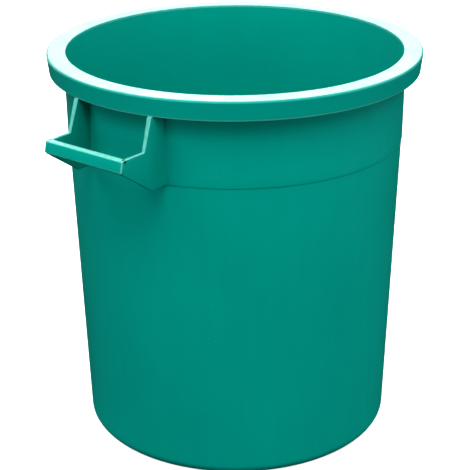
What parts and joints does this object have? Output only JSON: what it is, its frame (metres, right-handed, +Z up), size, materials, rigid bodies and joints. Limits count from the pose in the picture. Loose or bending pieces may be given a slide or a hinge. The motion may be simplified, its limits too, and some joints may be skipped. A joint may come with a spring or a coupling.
{
  "type": "round open tub",
  "caption": "Round open-topped plastic tub with a hanging rim and bracket handles on opposite sides.",
  "frame": {"origin": "centre of the face the tub stands on", "axes": "+Z up along the tub's axis, the handles on +X and -X"},
  "size_m": [0.594, 0.5, 0.535],
  "materials": {
    "tub_plastic": "satin moulded polyethylene, teal green"
  },
  "bodies": {
    "root": {"base_panel": "tub_plastic", "base_corner": "tub_plastic", "lower_wall": "tub_plastic", "upper_band": "tub_plastic", "rim_top": "tub_plastic", "rim_shoulder": "tub_plastic", "rim_skirt": "tub_plastic", "left_cheek_front": "tub_plastic", "left_cheek_rear": "tub_plastic", "left_grip_top": "tub_plastic", "left_grip_face": "tub_plastic", "right_cheek_front": "tub_plastic", "right_cheek_rear": "tub_plastic", "right_grip_top": "tub_plastic", "right_grip_face": "tub_plastic"}
  },
  "joints": []
}
